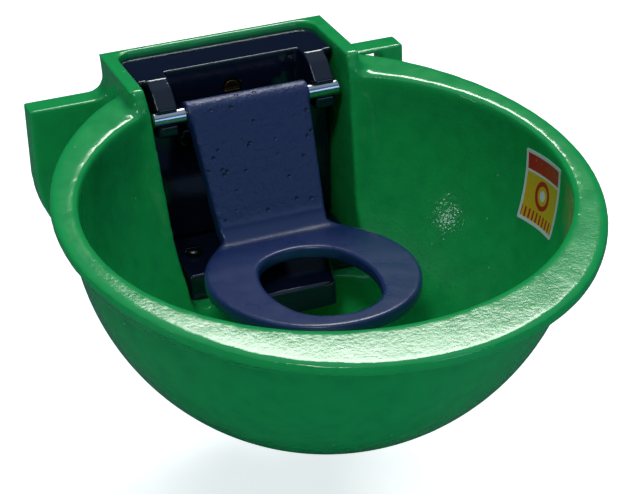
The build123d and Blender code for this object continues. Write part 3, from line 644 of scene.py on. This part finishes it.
class BOWL_OT_mouldings(Operator):
    """Mould the valve cover and the outlet deflector"""

    bl_idname = "drinking_bowl.mouldings"
    bl_label = "Mouldings"

    def execute(self, context):
        voxel = context.scene.bowl_fitting.moulding_voxel
        plastic = find_material("moulded_plastic")
        for node, name in (
            ("valve_cover", "cover_moulding"),
            ("outlet_deflector", "deflector_moulding"),
        ):
            data = skin(context, node, voxel, MOULDING_SMOOTHING)
            add_piece(context, name, data, plastic, "casting", "dark_plastic", node)
        return {"FINISHED"}


class BOWL_OT_screws(Operator):
    """Turn the screws with their rounded slotted heads"""

    bl_idname = "drinking_bowl.screws"
    bl_label = "Screws"

    def execute(self, context):
        voxel = context.scene.bowl_fitting.screw_voxel
        for node, name, material, body, slot in (
            ("cover_screws", "cover_screw_pair", "blackened_steel", "casting", "bright_steel"),
            ("deflector_screws", "deflector_screw_pair", "blackened_steel", "casting", "bright_steel"),
            # the flow screw gets the brass darkened as painted shade
            ("flow_screw", "flow_regulator_screw", "painted_shade_brass", "flow_screw", "brass"),
        ):
            data = skin(context, node, voxel, FITTING_SMOOTHING)
            add_piece(context, name, data, find_material(material), body, slot, node)
        return {"FINISHED"}


class BOWL_OT_inlet(Operator):
    """Machine the valve body, its threaded inlet and the locknut"""

    bl_idname = "drinking_bowl.inlet"
    bl_label = "Valve And Inlet"

    def execute(self, context):
        fitting = context.scene.bowl_fitting
        brass = find_material("turned_brass")
        nut_low, nut_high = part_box("inlet_locknut")
        body_low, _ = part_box("valve_body")
        axis = (nut_low + nut_high) / 2

        # the body, turned down to the thread's root below the locknut
        data = skin(context, "valve_body", fitting.moulding_voxel, FITTING_SMOOTHING)
        for vertex in data.vertices:
            arm = Vector((vertex.co.x - axis.x, vertex.co.y - axis.y))
            on_spigot = 0.8 * THREAD_CREST < arm.length < 1.1 * THREAD_CREST
            if vertex.co.z < nut_low.z - RELIEF_LENGTH and on_spigot:
                arm.length = min(arm.length, fitting.thread_root)
                vertex.co.x, vertex.co.y = axis.x + arm.x, axis.y + arm.y
        add_piece(context, "valve_housing", data, brass, "casting", "brass", "valve_body")

        # the thread, one ridge spun up round the spigot
        pitch = fitting.thread_pitch
        turns = int((nut_low.z - body_low.z - THREAD_SPARE) / pitch)
        bottom = body_low.z + THREAD_START
        root = fitting.thread_root - THREAD_SINK
        crest = THREAD_CREST - THREAD_CLEARANCE
        mesh = bmesh.new()
        face = mesh.faces.new([
            mesh.verts.new((axis.x + radius, axis.y, bottom + share * pitch))
            for radius, share in (
                (root, -THREAD_FLANK), (crest, -THREAD_FLAT), (crest, THREAD_FLAT), (root, THREAD_FLANK))])
        bmesh.ops.spin(
            mesh, geom=[face], cent=(axis.x, axis.y, 0), axis=(0, 0, 1),
            dvec=(0, 0, pitch / THREAD_STEPS), angle=math.tau * turns, steps=THREAD_STEPS * turns)
        bmesh.ops.recalc_face_normals(mesh, faces=mesh.faces)
        thread = bpy.data.meshes.new("inlet_thread")
        mesh.to_mesh(thread)
        mesh.free()
        for polygon in thread.polygons:
            polygon.use_smooth = True
        add_piece(context, "inlet_thread", thread, brass, "casting", "brass")

        # the locknut, with its corners bevelled
        nut = skin(context, "inlet_locknut", NUT_VOXEL, FITTING_SMOOTHING)
        flats = (nut_high.y - nut_low.y) / 2
        for vertex in nut.vertices:
            reach = math.hypot(vertex.co.x - axis.x, vertex.co.y - axis.y)
            over = max(0.0, reach - flats + NUT_BEVEL) * NUT_BEVEL_SLOPE
            vertex.co.z = max(nut_low.z + over, min(nut_high.z - over, vertex.co.z))
        add_piece(context, "locknut", nut, brass, "casting", "brass", "inlet_locknut")
        return {"FINISHED"}


def add_floor(context, stage):
    """A pale floor that looks even to the camera and dim in reflections."""
    mesh = bmesh.new()
    bmesh.ops.create_grid(mesh, x_segments=1, y_segments=1, size=FLOOR_HALF_SIZE,
                          matrix=Matrix.Translation((0, 0, -stage.floor_drop)))
    data = bpy.data.meshes.new("studio_floor")
    mesh.to_mesh(data)
    mesh.free()
    floor = bpy.data.objects.new("studio_floor", data)
    context.scene.collection.objects.link(floor)
    material, tree, shader, _ = new_material("studio_floor")
    ray = add_node(tree, "ShaderNodeLightPath").outputs
    bounced = blend_colours(tree, ray["Is Glossy Ray"], FLOOR_BOUNCE, FLOOR_IN_REFLECTIONS)
    seen = blend_colours(tree, ray["Is Camera Ray"], bounced, stage.floor_colour)
    tree.links.new(seen, shader.inputs["Base Color"])
    shader.inputs["Roughness"].default_value = 0.9
    shader.inputs["Emission Color"].default_value = (1, 1, 1, 1)
    glow = calculate(tree, "MULTIPLY", ray["Is Camera Ray"], FLOOR_GLOW)
    tree.links.new(glow, shader.inputs["Emission Strength"])
    data.materials.append(material)


def add_sky(context, stage):
    """Light from all sides, brighter from above."""
    world = bpy.data.worlds.new("studio_world")
    world.use_nodes = True
    sky = world.node_tree
    toward = add_node(sky, "ShaderNodeTexCoord").outputs["Generated"]
    up = add_node(sky, "ShaderNodeSeparateXYZ", {0: toward}).outputs["Z"]
    overhead = blend_colours(sky, ramp(sky, up, 0.45, 0.95), SKY_SIDES, SKY_TOP)
    background = sky.nodes["Background"]
    sky.links.new(overhead, background.inputs["Color"])
    background.inputs["Strength"].default_value = stage.ambient
    context.scene.world = world


def add_lamp(context, name, place, target, size, power, colour):
    """A softbox that faces its target."""
    light = bpy.data.lights.new(name, "AREA")
    light.size = size
    light.energy = power
    light.color = colour
    lamp = bpy.data.objects.new(name, light)
    lamp.location = place
    lamp.rotation_euler = (Vector(target) - Vector(place)).to_track_quat("-Z", "Y").to_euler()
    context.scene.collection.objects.link(lamp)


def add_camera(context, stage):
    camera = bpy.data.cameras.new("studio_camera")
    camera.sensor_fit = "HORIZONTAL"
    camera.sensor_width = CAMERA_SENSOR
    camera.lens = stage.lens
    camera.clip_start = 0.05
    view = bpy.data.objects.new("studio_camera", camera)
    view.location = CAMERA_PLACE
    view.rotation_euler = Euler(CAMERA_TURN)
    context.scene.collection.objects.link(view)
    context.scene.camera = view


class BOWL_OT_stage(Operator):
    """Add the floor, the studio lights and the camera"""

    bl_idname = "drinking_bowl.stage"
    bl_label = "Stage"

    def execute(self, context):
        stage = context.scene.bowl_stage
        add_floor(context, stage)
        add_sky(context, stage)
        for lamp in LAMPS:
            add_lamp(context, *lamp)
        add_camera(context, stage)
        context.scene.view_settings.view_transform = "Standard"
        return {"FINISHED"}


class BOWL_PT_panel(Panel):
    """Lists the bowl's pieces and stage"""

    bl_idname = "BOWL_PT_panel"
    bl_label = "Drinking Bowl"
    bl_space_type = "VIEW_3D"
    bl_region_type = "UI"
    bl_category = "Drinking Bowl"

    def draw(self, context):
        column = self.layout.column(align=True)
        for operator in PIECES:
            column.operator(operator.bl_idname)


PIECES = (BOWL_OT_finishes, BOWL_OT_casting, BOWL_OT_paddle, BOWL_OT_mouldings, BOWL_OT_screws, BOWL_OT_inlet,
          BOWL_OT_stage)
SETTINGS = (CastingSettings, FittingSettings, LabelSettings, StageSettings)
CLASSES = (*SETTINGS, *PIECES, BOWL_PT_panel)


def register():
    for cls in CLASSES:
        bpy.utils.register_class(cls)
    bpy.types.Scene.bowl_casting = PointerProperty(type=CastingSettings)
    bpy.types.Scene.bowl_fitting = PointerProperty(type=FittingSettings)
    bpy.types.Scene.bowl_label = PointerProperty(type=LabelSettings)
    bpy.types.Scene.bowl_stage = PointerProperty(type=StageSettings)


def unregister():
    del bpy.types.Scene.bowl_stage
    del bpy.types.Scene.bowl_label
    del bpy.types.Scene.bowl_fitting
    del bpy.types.Scene.bowl_casting
    for cls in reversed(CLASSES):
        bpy.utils.unregister_class(cls)


def main():
    register()
    bpy.ops.drinking_bowl.finishes()
    bpy.ops.drinking_bowl.casting()
    bpy.ops.drinking_bowl.paddle()
    bpy.ops.drinking_bowl.mouldings()
    bpy.ops.drinking_bowl.screws()
    bpy.ops.drinking_bowl.inlet()
    bpy.ops.drinking_bowl.stage()


if __name__ == "__main__":
    main()
